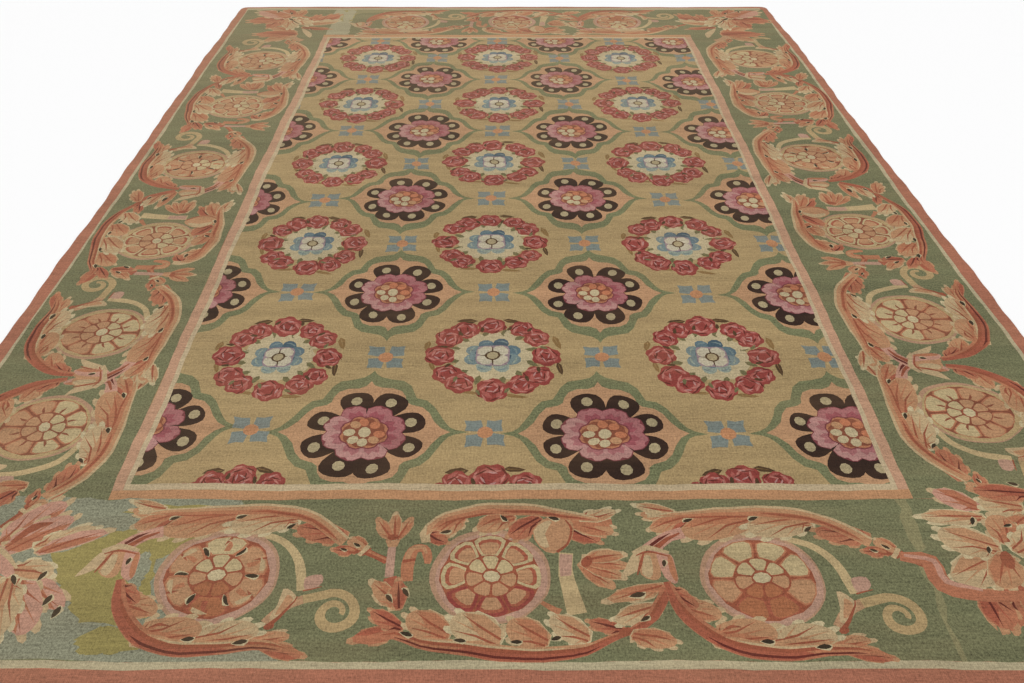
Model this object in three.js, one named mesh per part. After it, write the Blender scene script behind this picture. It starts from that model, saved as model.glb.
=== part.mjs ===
// A large flat-woven wool rug lying open on a floor, in millimetres, +Z up.
// It is woven in one piece, so it is one solid: no binding, fringe or lining is sewn to it.
// The origin is at the middle of its underside. The length runs along Y, the near end is at -Y.
import * as THREE from 'three';

// Driving dimensions.
const WIDTH = 3060; // at the near end, where the rug is widest
const LENGTH = 4284;
const THICKNESS = 3; // of the cloth, warp ridges included
const CORNER_RADIUS = 38;
const SWELL = 0.45; // height of the slow unevenness of the upper face

// The hand-woven sides drift outwards towards the near end. Each row is one place along the side:
// y is its place, left and right are the distances of the two edges from the centre line.
const SIDE_STATIONS = [
  { y: -2142, left: 1530, right: 1530 },
  { y: -1488, left: 1528, right: 1518 },
  { y: -938, left: 1524, right: 1503 },
  { y: -538, left: 1520, right: 1489 },
  { y: -138, left: 1511, right: 1477 },
  { y: 432, left: 1511, right: 1461 },
  { y: 912, left: 1508, right: 1449 },
  { y: 1372, left: 1507, right: 1441 },
  { y: 1652, left: 1500, right: 1430 },
  { y: 2142, left: 1491, right: 1403 },
];

// Small uneven waves of the edges: height of the wave, its length along the edge, and its start.
const EDGE_WAVES = {
  left: [{ height: 2.2, length: 610, start: 0.4 }, { height: 1.6, length: 173, start: 1.9 }],
  right: [{ height: 2.6, length: 540, start: 2.2 }, { height: 1.9, length: 151, start: 0.3 }],
  near: [{ height: 3.0, length: 1320, start: 1.1 }, { height: 1.5, length: 233, start: 2.6 }],
  far: [{ height: 2.8, length: 1180, start: 0.2 }, { height: 1.7, length: 262, start: 1.4 }],
};

// The upper face swells and dips a little, as a rug does that has been rolled and walked on.
const SWELL_WAVES = [
  { share: 0.5, alongX: 1.9, alongY: 1.1, start: 0.7 },
  { share: 0.3, alongX: -3.1, alongY: 2.3, start: 2.4 },
  { share: 0.2, alongX: 4.7, alongY: 4.1, start: 4.0 },
];

// The turned edge in section, from the underside up: inset from the outline, and height.
const RIM_STEPS = [
  { inset: 0.9, z: 0 },
  { inset: 0, z: 0.9 },
  { inset: 0, z: 1.9 },
];
const TOP_INSET = 1.2;
const TOP_EDGE_DROP = 0.35; // the upper face is a little lower at its rim

// Lines of the upper face's net, from each edge inwards, then evenly across the middle.
const EDGE_LINES = [TOP_INSET, 14, 28, 46];
const NET_STEP = 82;

const COLOURS = { cloth: 0x8f8460 };

const wave = (waves, place) => waves.reduce(
  (sum, row) => sum + row.height * Math.sin((2 * Math.PI * place) / row.length + row.start), 0);

// Smooth value between the rows of a table, by the key named.
function between(rows, y, key) {
  const last = rows.length - 1;
  let i = 0;
  while (i < last - 1 && y > rows[i + 1].y) i += 1;
  const t = THREE.MathUtils.clamp((y - rows[i].y) / (rows[i + 1].y - rows[i].y), 0, 1);
  return THREE.MathUtils.lerp(rows[i][key], rows[i + 1][key], t);
}

// Moves a point of the plain rectangle that is near a corner so that the corner comes out round.
function roundCorner(across, along) {
  const fromSide = Math.min(across, WIDTH - across);
  const fromEnd = Math.min(along, LENGTH - along);
  if (fromSide >= CORNER_RADIUS || fromEnd >= CORNER_RADIUS) return [across, along];
  const p = 1 - fromSide / CORNER_RADIUS;
  const q = 1 - fromEnd / CORNER_RADIUS;
  const side = CORNER_RADIUS * (1 - p * Math.sqrt(1 - (q * q) / 2));
  const end = CORNER_RADIUS * (1 - q * Math.sqrt(1 - (p * p) / 2));
  return [
    across < WIDTH / 2 ? side : WIDTH - side,
    along < LENGTH / 2 ? end : LENGTH - end,
  ];
}

// The place on the floor of a point given by its distances from the left side and the near end.
function lay(across, along) {
  const [u, v] = roundCorner(across, along);
  const y = v - LENGTH / 2;
  const left = -between(SIDE_STATIONS, y, 'left') - wave(EDGE_WAVES.left, y);
  const right = between(SIDE_STATIONS, y, 'right') + wave(EDGE_WAVES.right, y);
  const x = THREE.MathUtils.lerp(left, right, u / WIDTH);
  const share = v / LENGTH;
  const ends = share * wave(EDGE_WAVES.far, x) - (1 - share) * wave(EDGE_WAVES.near, x);
  return [x, y + ends];
}

function topHeight(x, y) {
  const metre = 1000;
  const swell = SWELL_WAVES.reduce((sum, row) => sum
    + row.share * Math.sin((row.alongX * x + row.alongY * y) / metre + row.start), 0);
  return THICKNESS + SWELL * swell;
}

function netLines(size) {
  const inner = EDGE_LINES[EDGE_LINES.length - 1];
  const middle = size - 2 * inner;
  const count = Math.round(middle / NET_STEP);
  const lines = [...EDGE_LINES];
  for (let i = 1; i < count; i += 1) lines.push(inner + (middle * i) / count);
  return [...lines, ...EDGE_LINES.map((line) => size - line).reverse()];
}

// The distances of the net's outermost points, once round the rug anticlockwise.
function ringOf(linesAcross, linesAlong) {
  const lastX = linesAcross.length - 1;
  const lastY = linesAlong.length - 1;
  const ring = [];
  for (let i = 0; i < lastX; i += 1) ring.push([i, 0]);
  for (let j = 0; j < lastY; j += 1) ring.push([lastX, j]);
  for (let i = lastX; i > 0; i -= 1) ring.push([i, lastY]);
  for (let j = lastY; j > 0; j -= 1) ring.push([0, j]);
  return ring;
}

// The same line of the net, but for the outermost one, which lies at the inset given.
function insetLine(lines, index, size, inset) {
  if (index === 0) return inset;
  if (index === lines.length - 1) return size - inset;
  return lines[index];
}

function rugGeometry() {
  const linesAcross = netLines(WIDTH);
  const linesAlong = netLines(LENGTH);
  const ring = ringOf(linesAcross, linesAlong);
  const points = [];
  const faces = [];

  // Upper face: a net of points.
  const topIndex = (i, j) => i * linesAlong.length + j;
  linesAcross.forEach((across, i) => linesAlong.forEach((along, j) => {
    const [x, y] = lay(across, along);
    const atRim = i === 0 || j === 0 || i === linesAcross.length - 1 || j === linesAlong.length - 1;
    points.push([x, y, topHeight(x, y) - (atRim ? TOP_EDGE_DROP : 0)]);
  }));
  for (let i = 0; i < linesAcross.length - 1; i += 1) {
    for (let j = 0; j < linesAlong.length - 1; j += 1) {
      const [a, b] = [topIndex(i, j), topIndex(i + 1, j)];
      const [c, d] = [topIndex(i + 1, j + 1), topIndex(i, j + 1)];
      faces.push([a, b, c], [a, c, d]);
    }
  }

  // Turned edge: rings of points under the net's outermost ones.
  const rimRings = RIM_STEPS.map((step) => {
    const start = points.length;
    ring.forEach(([i, j]) => {
      const across = insetLine(linesAcross, i, WIDTH, step.inset);
      const along = insetLine(linesAlong, j, LENGTH, step.inset);
      const [x, y] = lay(across, along);
      points.push([x, y, step.z]);
    });
    return ring.map((_, k) => start + k);
  });
  rimRings.push(ring.map(([i, j]) => topIndex(i, j)));
  for (let r = 0; r < rimRings.length - 1; r += 1) {
    const [low, high] = [rimRings[r], rimRings[r + 1]];
    low.forEach((_, k) => {
      const next = (k + 1) % low.length;
      faces.push([low[k], low[next], high[next]], [low[k], high[next], high[k]]);
    });
  }

  // Underside: one flat face inside the lowest ring.
  const outline = rimRings[0].map((index) => new THREE.Vector2(points[index][0], points[index][1]));
  THREE.ShapeUtils.triangulateShape(outline, []).forEach(([a, b, c]) => {
    faces.push([rimRings[0][a], rimRings[0][c], rimRings[0][b]]);
  });

  const geometry = new THREE.BufferGeometry();
  geometry.setAttribute('position', new THREE.Float32BufferAttribute(points.flat(), 3));
  geometry.setIndex(faces.flat());
  geometry.computeVertexNormals();
  return geometry;
}

// Centres the outline on the origin, with the underside at height zero.
function centre(geometry) {
  geometry.computeBoundingBox();
  const middle = geometry.boundingBox.getCenter(new THREE.Vector3());
  geometry.translate(-middle.x, -middle.y, 0);
  return geometry;
}

const wool = new THREE.MeshStandardMaterial({
  color: COLOURS.cloth,
  roughness: 0.95,
  metalness: 0,
});

const rug = new THREE.Mesh(centre(rugGeometry()), wool);
rug.name = 'rug';

const object = new THREE.Group();
object.add(rug);

export default object;
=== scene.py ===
"""A large flat-woven wool rug with a flowered field and a scrolling border, lying on a studio floor.

The pattern is drawn as coloured patches in painter's order. Cut into triangles tile by tile, they make
the upper face of a closed sheet, whose outline is the CAD model's. Sizes in the drawing are
millimetres from the rug's middle; in the scene they are metres.
"""

import cmath
import math

import bmesh
import bpy
import numpy as np
from bpy.props import FloatProperty, FloatVectorProperty, IntProperty, PointerProperty
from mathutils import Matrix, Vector
from mathutils.geometry import delaunay_2d_cdt


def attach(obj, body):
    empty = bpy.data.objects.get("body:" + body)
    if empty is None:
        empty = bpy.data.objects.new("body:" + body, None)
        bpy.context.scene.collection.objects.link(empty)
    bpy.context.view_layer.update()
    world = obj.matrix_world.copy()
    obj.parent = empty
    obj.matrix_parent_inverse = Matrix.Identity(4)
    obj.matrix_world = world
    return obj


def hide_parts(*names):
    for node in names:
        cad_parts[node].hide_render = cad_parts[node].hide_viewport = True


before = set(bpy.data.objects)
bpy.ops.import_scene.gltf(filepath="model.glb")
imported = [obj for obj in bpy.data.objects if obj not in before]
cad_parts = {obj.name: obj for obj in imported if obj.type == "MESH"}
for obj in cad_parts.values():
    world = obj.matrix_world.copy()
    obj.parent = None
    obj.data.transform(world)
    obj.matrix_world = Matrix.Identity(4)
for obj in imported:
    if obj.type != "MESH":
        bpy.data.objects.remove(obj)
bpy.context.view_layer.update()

bl_info = {
    "name": "Flat-woven flowered rug",
    "version": (1, 0, 0),
    "blender": (4, 5, 0),
    "location": "View3D > Sidebar > Rug",
    "description": "Builds a large flat-woven wool rug and a plain studio round it",
    "category": "Object",
}

TAU = 2 * math.pi
MM = 0.001  # in metres
METRE = 1000  # in millimetres


# Settings

def metres(name, description, default):
    """A length in metres."""
    return FloatProperty(name=name, description=description, default=default, subtype="DISTANCE", unit="LENGTH")


def amount(name, description, default):
    """An amount, mostly from 0 to 1."""
    return FloatProperty(name=name, description=description, default=default, min=0.0, max=2.0, subtype="FACTOR")


def dyed(name, red, green, blue):
    """A yarn's colour as it looks on the rug, each part from 0 to 255."""
    return FloatVectorProperty(name=name, description=f"Yarn colour: {name.lower()}", size=3, min=0.0, max=1.0,
                               default=(red / 255, green / 255, blue / 255), subtype="COLOR_GAMMA")


class RugSizes(bpy.types.PropertyGroup):
    width: metres("Width", "Width at the near end", 3.060)
    length: metres("Length", "Length along the middle", 4.284)
    thickness: metres("Thickness", "Cloth with its ridges", 0.003)
    corner_radius: metres("Corner radius", "Rounding of the corners", 0.038)
    swell: metres("Swell", "Slow unevenness of the upper face", 0.00045)
    seed: IntProperty(name="Seed", description="Chooses the small differences between repeats", default=7, min=0)


class RugWear(bpy.types.PropertyGroup):
    rib_pitch: metres("Rib pitch", "Distance between two warp ridges", 0.0036)
    rib_height: metres("Rib height", "Height of the ridges and picks", 0.0005)
    # also sets the painted shade between the warp ribs
    streaks: amount("Streaks", "Strength of the fine lines of weft", 0.5)
    bands: amount("Dye bands", "Strength of the bands where the dye changes", 0.5)
    # strength of the painted light that makes the far end and the left side paler
    painted_light_strength: amount("Painted light", "How much paler the far end is", 0.5)
    stains: amount("Stains", "Strength of the worn and stained patches", 0.5)


class RugStudio(bpy.types.PropertyGroup):
    floor_colour: dyed("Floor", 250, 250, 250)
    camera_height: metres("Camera height", "Height of the camera above the floor", 1.700)
    camera_back: metres("Camera distance", "Distance of the camera before the rug's middle", 3.268)
    pitch: FloatProperty(name="Camera pitch", description="Angle below the horizon", default=math.radians(36.5),
                         subtype="ANGLE", unit="ROTATION")
    lens: FloatProperty(name="Lens", description="Focal length for a 36 mm sensor", default=34.01,
                        subtype="DISTANCE_CAMERA")
    daylight: FloatProperty(name="Daylight", description="Strength of the even light from all round",
                            default=0.82, min=0.0)
    key_light: FloatProperty(name="Key light", description="Strength of the soft light from the upper left",
                             default=0.9, min=0.0)


YARN_COLOURS = {
    "tan": (159, 136, 96), "tan shade": (146, 120, 80), "ogee": (109, 111, 79), "green": (108, 108, 78),
    "peach": (171, 132, 98), "stripe coral": (172, 128, 92), "stripe pink": (176, 137, 110),
    "stripe cream": (179, 160, 128), "edge cream": (168, 156, 125), "edge coral": (158, 102, 80),
    "dark": (50, 34, 26), "dot": (158, 143, 110), "magenta": (140, 76, 80), "magenta deep": (114, 58, 61),
    "orchid": (153, 98, 97), "pink": (168, 124, 117), "blush": (176, 132, 112), "orange": (173, 109, 78),
    "apricot": (172, 130, 95), "cream": (176, 160, 126), "rust": (125, 73, 53), "crimson": (134, 61, 54),
    "rose": (156, 86, 77), "wine": (92, 42, 34), "leaf dark": (76, 56, 36), "leaf olive": (126, 98, 60),
    "leaf green": (104, 98, 66), "blue light": (110, 124, 122), "blue mid": (88, 106, 112),
    "blue deep": (66, 84, 94), "blue pale": (136, 144, 130), "lilac": (140, 120, 122),
    "cross blue": (114, 121, 114), "heart": (172, 122, 86), "rose light": (170, 110, 98),
    "white": (180, 170, 146), "petal cream": (174, 155, 116), "petal peach": (169, 128, 94),
    "petal orange": (155, 98, 67), "ring": (162, 127, 101), "ring pink": (168, 132, 112),
    "brick": (140, 78, 56), "leaf cream": (174, 150, 114), "leaf peach": (168, 126, 92),
    "salmon": (163, 108, 78), "coral": (161, 103, 76), "coral deep": (150, 84, 63),
    "cream light": (182, 166, 130), "spiral": (164, 140, 100), "stalk pink": (166, 130, 98),
    "aged blue": (130, 130, 108), "aged olive": (140, 128, 76), "aged grey": (150, 144, 116),
    "aged light": (128, 122, 88), "stalk cream": (174, 152, 112), "eye": (54, 44, 32),
}


def yarn_id(name):
    return name.replace(" ", "_")


class RugYarns(bpy.types.PropertyGroup):
    """One colour for each yarn of the pattern."""
    __annotations__ = {yarn_id(name): dyed(name.capitalize(), *rgb) for name, rgb in YARN_COLOURS.items()}


# Drawing kit: outlines are arrays of complex numbers, real part across the rug and imaginary part
# along it, in millimetres. A motif is a list of (yarn, outline), painted in that order.

def turned(degrees):
    return cmath.exp(1j * math.radians(degrees))


def around(turn, *places):
    """Outline from places about a middle, each a distance and an angle beyond the turn."""
    return np.array([radius * turned(turn + angle) for radius, angle in places])


def oval(at, across, along, turn=0.0, points=14):
    """Oval outline from its half sizes."""
    angle = np.arange(points) * TAU / points
    return at + (across * np.cos(angle) + 1j * along * np.sin(angle)) * turned(turn)


def scalloped(at, radius, bumps, depth, turn, points=3):
    """Round outline with bumps; points is the number for each bump."""
    angle = np.arange(bumps * points) * TAU / (bumps * points)
    swell = 1 - depth + depth * np.abs(np.sin(angle * bumps / 2)) ** 0.7
    return at + radius * swell * np.exp(1j * angle) * turned(turn)


def curve_between(a, b, c, d, steps):
    """Points of a soft curve from each b to its c, which the points a and d before and after them bend."""
    t = (np.arange(steps) / steps)[:, None]
    curve = b + 0.5 * ((c - a) * t + (2 * a - 5 * b + 4 * c - d) * t**2 + (3 * b - a - 3 * c + d) * t**3)
    return curve.T.ravel()


def smooth(corners, steps=2):
    """Closed soft curve through a few points."""
    b = np.asarray(corners, complex)
    return curve_between(np.roll(b, 1), b, np.roll(b, -1), np.roll(b, -2), steps)


def ribbon(line, widths):
    """Outline of a band along a line; its widths are spread evenly over the line."""
    line = np.asarray(line, complex)
    along = np.gradient(line)
    place = np.linspace(0, 1, len(line))
    half = np.interp(place, np.linspace(0, 1, len(widths)), widths) / 2
    side = 1j * along / np.abs(along) * half
    return np.concatenate([line + side, (line - side)[::-1]])


def bow(points, steps=3):
    """Open soft curve through a few points."""
    points = np.asarray(points, complex)
    ends = np.concatenate([[2 * points[0] - points[1]], points, [2 * points[-1] - points[-2]]])
    return np.append(curve_between(ends[:-3], ends[1:-2], ends[2:-1], ends[3:], steps), points[-1])


def vein_line(start, bulge, end, width=5.5):
    """Thin bowed wedge that runs out to nothing at its end."""
    side = 0.5j * width * (end - start) / abs(end - start)
    middle = 0.25 * start + 0.5 * bulge + 0.25 * end
    return np.array([start - side, middle - side, end, middle + side, start + side])


def blob(yarn, *corners):
    """Patch with a soft outline through a few points."""
    return yarn, smooth(corners)


def strip(yarn, points, widths):
    """Patch along a line with plain bends."""
    return yarn, ribbon(points, widths)


def band(yarn, points, widths):
    """Patch along a soft curve through a few points."""
    return yarn, ribbon(bow(points), widths)


def spine(points):
    """Centre line of a leaf through a few points: (distances, points, headings)."""
    line = bow(points, 2)
    distances = np.concatenate([[0], np.cumsum(np.abs(np.diff(line)))])
    return distances, line, np.unwrap(np.angle(np.gradient(line)))


def curled(length, turn):
    """Spine along the real axis that turns evenly."""
    headings = np.radians(np.linspace(0, turn, 6))
    steps = length / 5 * np.exp(1j * (headings[1:] + headings[:-1]) / 2)
    return np.linspace(0, length, 6), np.concatenate([[0], np.cumsum(steps)]), headings


def at_distance(line, distance):
    """Points of a spine at the distances given, and its directions there."""
    distances, points, headings = line
    point = np.interp(distance, distances, points.real) + 1j * np.interp(distance, distances, points.imag)
    return point, np.exp(1j * np.interp(distance, distances, headings))


def bent(outline, line):
    """Lays an outline drawn along a straight line onto a spine."""
    along = np.clip(outline.real, line[0][0], line[0][-1])
    base, facing = at_distance(line, along)
    return base + ((outline.real - along) + 1j * outline.imag) * facing


def placed(motif, at=0, turn=0.0, size=1.0, flip=False, tall=1.0):
    """A motif moved, turned, scaled or mirrored."""
    rows = []
    for yarn, outline in motif:
        z = outline.conj() if flip else outline
        z = z * size * turned(turn)
        rows.append((yarn, at + z.real + 1j * tall * z.imag))
    return rows


def shrunk(outline, middle, share):
    return middle + (outline - middle) * share


def trimmed(outline, low, high):
    """The part of an outline inside an upright rectangle."""
    for bound, axis, sign in ((low.real, 0, 1), (low.imag, 1, 1), (high.real, 0, -1), (high.imag, 1, -1)):
        if len(outline) < 3:
            return outline[:0]
        place = outline.imag if axis else outline.real
        room = sign * (place - bound)
        kept = []
        for z, inside, after, beyond in zip(outline, room, np.roll(outline, -1), np.roll(room, -1)):
            if inside >= 0:
                kept.append(z)
            if (inside >= 0) != (beyond >= 0):
                kept.append(z + (after - z) * inside / (inside - beyond))
        outline = np.array(kept, complex)
    return outline


# Field motifs

# Curled petals and creases of a rose: yarn, number, nearest and farthest place, length and width, all
# but the number in shares of its radius.
ROSE_STROKES = (("rose", 4, 0.4, 0.62, 0.46, 0.34), ("rose light", 6, 0.35, 0.78, 0.34, 0.16),
                ("wine", 6, 0.2, 0.82, 0.36, 0.12), ("pink", 3, 0.1, 0.6, 0.26, 0.13))


def rose(size, rng):
    """Small full-blown rose: a ragged crimson round with curled pale petals and dark creases."""
    rows = [("crimson", scalloped(0, size, 6, 0.15, rng.uniform(0, 60)))]
    turn = rng.uniform(0, 360)
    for yarn, count, near, far, length, width in ROSE_STROKES:
        turn += 33
        for i in range(count):
            out = turned(turn + 360 * i / count + rng.uniform(-16, 16))
            middle = size * rng.uniform(near, far) * out
            half = length * size * 1j * out * turned(rng.uniform(-35, 35))
            rows.append((yarn, np.array([middle - half, middle - 0.4 * half + 0.5 * width * size * out,
                                         middle + 0.4 * half + 0.6 * width * size * out, middle + half,
                                         middle - 0.4 * width * size * out])))
    return rows


# The roses of a wreath: angle, distance from its middle and radius.
ROSE_PLACES = ((0, 157, 50), (34, 156, 45), (57, 157, 43), (91, 150, 50), (123, 152, 45), (145, 158, 46),
               (179, 156, 50), (214, 158, 46), (234, 156, 47), (270, 155, 50), (304, 156, 46), (326, 160, 44))
# The leaves outside the roses of a wreath: place, direction, length, width and yarn.
WREATH_LEAVES = ((-52 + 176j, 190, 62, 24, "leaf dark"), (30 + 182j, -8, 58, 20, "leaf dark"),
                 (182 + 96j, -75, 66, 22, "leaf olive"), (-190 + 72j, -100, 48, 20, "leaf olive"),
                 (186 - 30j, -80, 62, 18, "leaf dark"), (-186 - 26j, -75, 50, 16, "leaf olive"),
                 (-36 - 168j, 180, 66, 13, "leaf olive"), (34 - 176j, -6, 72, 15, "leaf olive"))
# The places of the leaves inside the roses, and of those tucked in between them.
INNER_LEAVES = (20, 47, 74, 108, 133, 162, 198, 224, 250, 288, 315, 343)
TUCKED_LEAVES = (16, 46, 74, 107, 133, 162, 197, 224, 252, 288, 315, 342)
# Pale sprigs that cross the ring of roses: where each starts, and the way it leans.
SPRIGS = ((70, 62), (112, 118), (22, 8), (338, -10), (205, 200))


def small_leaf(length, width, yarn, vein=None):
    """Leaf growing along the real axis, with a vein where its yarn is given."""
    blade = np.array([0, 0.3 * length - 0.5j * width, 0.75 * length - 0.4j * width, length,
                      0.7 * length + 0.35j * width, 0.25 * length + 0.5j * width])
    rows = [(yarn, blade)]
    if vein:
        rows.append((vein, np.array([0.15 * length - 0.06j * width, 0.85 * length, 0.15 * length + 0.08j * width])))
    return rows


def wreath(rng):
    """Round garland of roses about a cream disc with a blue flower."""
    rows = [("cream", scalloped(0, 118, 12, 0.07, 15))]
    for at, turn, length, width, yarn in WREATH_LEAVES:
        vein = "leaf olive" if yarn == "leaf dark" else "tan shade"
        rows += placed(small_leaf(length, width, yarn, vein), at, turn + rng.uniform(-8, 8))
    for angle in INNER_LEAVES:
        a = angle + rng.uniform(-4, 4)
        rows += placed(small_leaf(42, 19, "leaf green"), 98 * turned(a), a + rng.uniform(-35, 35))
    for angle, lean in SPRIGS:
        tip = 164 * turned(0.5 * angle + 0.5 * lean)
        rows.append(("cream", vein_line(104 * turned(angle), 134 * turned(angle + 2), tip, 13)))
    for angle, out, size in ROSE_PLACES:
        a = angle + rng.uniform(-1.5, 1.5)
        rows += placed(rose(size * rng.uniform(0.95, 1.05), rng), out * turned(a), tall=rng.uniform(0.88, 1.08))
    for angle in TUCKED_LEAVES:
        a = angle + rng.uniform(-3, 3)
        leaf = small_leaf(28, 12, "leaf dark" if angle % 4 else "leaf green")
        rows += placed(leaf, (140 + rng.uniform(-20, 24)) * turned(a), a + rng.uniform(-60, 60))
    return rows + blue_flower(rng)


# The blue petals: angle, distance from the middle, radius and yarn.
BLUE_PETALS = ((155, 58, 29, "blue light"), (110, 58, 27, "blue mid"), (66, 62, 28, "blue deep"),
               (24, 60, 30, "blue mid"), (-20, 60, 29, "blue light"), (-64, 60, 27, "blue pale"),
               (-110, 61, 28, "blue pale"), (202, 60, 30, "blue light"))


def blue_flower(rng):
    """Four white petals about a tan heart, on eight blue ones that fade towards the lower left."""
    rows = []
    for a, out, size, yarn in BLUE_PETALS:
        a += rng.uniform(-3, 3)
        out, size = 0.95 * out, 0.96 * size
        rows.append((yarn, oval(out * turned(a), size, 0.9 * size, a, 10)))
        rows.append(("blue deep" if yarn != "blue pale" else "blue mid",
                     oval((out - 12) * turned(a + 6), 9, 15, a, 6)))
        rows.append(("blue pale" if yarn == "blue light" else "blue light",
                     vein_line((out + 12) * turned(a - 14), (out + 18) * turned(a), (out + 10) * turned(a + 15), 6)))
    rows.append(blob("lilac", -47 + 0j, -42 - 42j, 0 - 48j, 42 - 42j, 48 + 0j, 42 + 42j, 0 + 47j, -42 + 42j))
    for a in (45, 135, 225, 315):
        rows.append(("white", around(a, (9, 0), (30, -48), (43, -36), (51, -14), (52, 14), (43, 36), (30, 48))))
    for i, reach in enumerate((28, 40, 34, 46)):
        a = 90 * i + 4
        rows.append(strip("leaf dark", [14 * turned(a), reach * turned(a)], (6, 2)))
    rows += [("leaf dark", oval(0, 22, 22, 0, 11)), ("dot", oval(0, 16, 17, 0, 9))]
    return rows


def fourfold(corners):
    """Closed outline from a quarter of it, given from the right tip to the top one."""
    q = np.array(corners)
    return np.concatenate([q[:-1], -q.conj()[:0:-1], -q[:-1], q.conj()[:0:-1]])


OGEE = fourfold((257, 226 + 9j, 210 + 20j, 196 + 42j, 182 + 72j, 169 + 102j, 148 + 128j, 121 + 138j, 112 + 163j,
                 102 + 190j, 80 + 214j, 50 + 222j, 22 + 232j, 8 + 246j, 262j))
OGEE_LINING = fourfold((213, 190 + 16j, 170 + 44j, 156 + 78j, 138 + 101j, 108 + 112j, 96 + 124j, 93 + 146j,
                        82 + 168j, 58 + 181j, 30 + 183j, 10 + 194j, 214j))
# The dark petals of a medallion, angle and length against the usual one, and the seeds about its middle.
DARK_PETALS = ((20, 0.92), (62, 0.99), (106, 0.98), (160, 0.9), (206, 0.94), (247, 1.02), (285, 1.02), (332, 0.94))
DARK_PETAL = smooth([30 - 20j, 84 - 34j, 128 - 44j, 160 - 34j, 171 + 0j, 160 + 34j, 128 + 44j, 84 + 34j, 30 + 20j])
SEEDS = ((-5, "orange"), (48, "orange"), (94, "orange"), (136, "apricot"), (180, "cream"), (226, "cream"),
         (270, "cream"), (314, "apricot"))


def octafoil(rng):
    """Dark eight-lobed medallion with a magenta flower, on a peach ground with a green ogee border."""
    rows = [("ogee", OGEE), ("peach", OGEE_LINING)]
    for a, length in DARK_PETALS:
        a += rng.uniform(-2.5, 2.5)
        rows.append(("dark", DARK_PETAL * length * turned(a)))
        rows.append(("dot", oval((135 + rng.uniform(-5, 7)) * length * turned(a), 14.5, 18.5, rng.uniform(-9, 9), 9)))
    for i in range(8):
        a = 22.5 + 45 * i + rng.uniform(-2, 2)
        light = math.sin(math.radians(a + 30)) < -0.1
        shades = ("pink", "orchid") if light else ("orchid", "magenta")
        outer = around(a, (40, -16), (68, -24), (92, -22), (103, -13), (105, -5), (99, 0), (107, 6), (104, 12),
                       (92, 22), (68, 24), (40, 16))
        rows.append(("magenta deep", shrunk(outer[[0, 2, 3, 4, 6, 7, 8, 10]], 50 * turned(a), 1.05)))
        rows.append((shades[0], outer))
        rows.append((shades[1], around(a, (45, -14), (70, -18), (86, -10), (76, -2), (88, 7), (72, 17), (45, 14))))
        rows.append(("magenta deep", vein_line(60 * turned(a - 15), 64 * turned(a), 60 * turned(a + 15), 6)))
    rows += [("magenta deep", scalloped(0, 66, 8, 0.1, 0)), ("salmon", scalloped(0, 62, 8, 0.12, 0)),
             ("rust", scalloped(0, 57, 8, 0.1, 12))]
    for a, yarn in SEEDS:
        a += rng.uniform(-3, 3)
        rows.append((yarn, oval(38 * turned(a), 15.5, 13.5, a, 8)))
    rows.append(("cream", oval(0, 16, 20, 0, 9)))
    return rows


def small_cross(rng):
    """Four blue-grey petals with flared corners about a peach heart."""
    rows = []
    for turn in (1, 1j, -1, -1j):
        petal = np.array([3 + 3j, 5 + 28j, 9 + 51j, 29 + 48j, 51 + 54j, 47 + 31j, 49 + 8j, 26 + 5j]) * turn
        rows.append(("cross blue", petal + rng.uniform(-2, 2) + 1j * rng.uniform(-2, 2)))
    rows.append(("heart", oval(0, 21, 23, 0, 10)))
    return rows


# Border motifs. Their local frame has its origin at a rosette's middle, real part along the band and
# imaginary part towards the field.

WARM = ("leaf cream", "leaf peach", "salmon", "brick")
CORAL = ("leaf peach", "coral", "coral deep", "wine")
PALE = ("cream light", "leaf cream", "leaf peach", "brick")


def lobe(at, facing, length, width, fingers, shades, curl=0.0, depth=0.24):
    """Acanthus lobe growing along the real axis: smooth on its right side, rounded fingers at its tip
    and on its left, paler at its rim, with a dark vein running to each finger."""
    rim, body, shade, vein = shades
    line = curled(1.25 * length, curl)
    t = np.linspace(0, 1, 4 * fingers + 1)
    round_edge = 0.48 * length + 0.5 * length * np.cos(np.radians(-30 + 170 * t)) \
        + 0.5j * width * np.sin(np.radians(-30 + 170 * t))
    root = 0.3 * length - 0.12j * width
    bumps = 1 - depth + depth * 1.25 * np.abs(np.sin(math.pi * fingers * t)) ** 0.5
    back = np.array([0.02 * length + 0.3j * width, -0.02 * length, 0.02 * length - 0.3j * width,
                     0.4 * length - 0.5j * width, 0.72 * length - 0.42j * width])
    edge = np.concatenate([root + (round_edge - root) * bumps, back])
    inner = np.concatenate([(root + (round_edge - root) * (bumps - 0.13))[1::2], 0.94 * back[1:] + 0.02 * length])
    blade = np.array([0, 0.15 * length - 0.34j * width, 0.55 * length - 0.42j * width, 0.84 * length - 0.18j * width,
                      0.5 * length - 0.02j * width, 0.12 * length + 0.16j * width])
    rows = [(rim, bent(edge, line)), (body, bent(inner, line)), (shade, bent(blade, line))]
    for i in range(fingers):
        tip = root + (round_edge[4 * i + 2] - root) * 0.86
        bulge = 0.5 * tip + 0.06 * length - (0.10 + 0.03 * i) * 1j * width
        start = 0.04 * length - 0.12j * width + 0.08j * width * i
        rows.append((vein if i % 2 == 0 else shade, bent(vein_line(start, bulge, tip), line)))
    return placed(rows, at, facing)


def eye(at, facing, length, width):
    """Dark slit with a pale side, where two lobes part."""
    pale = (-0.6 * length, 0.3j * width, 0.6 * length + 0.3j * width, 0.3 * length - 0.9j * width)
    dark = (-0.5 * length, 0.1 * length + 0.55j * width, 0.55 * length, 0.1 * length - 0.5j * width)
    return placed([blob("cream light", *pale), blob("eye", *dark)], at, facing)


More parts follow.
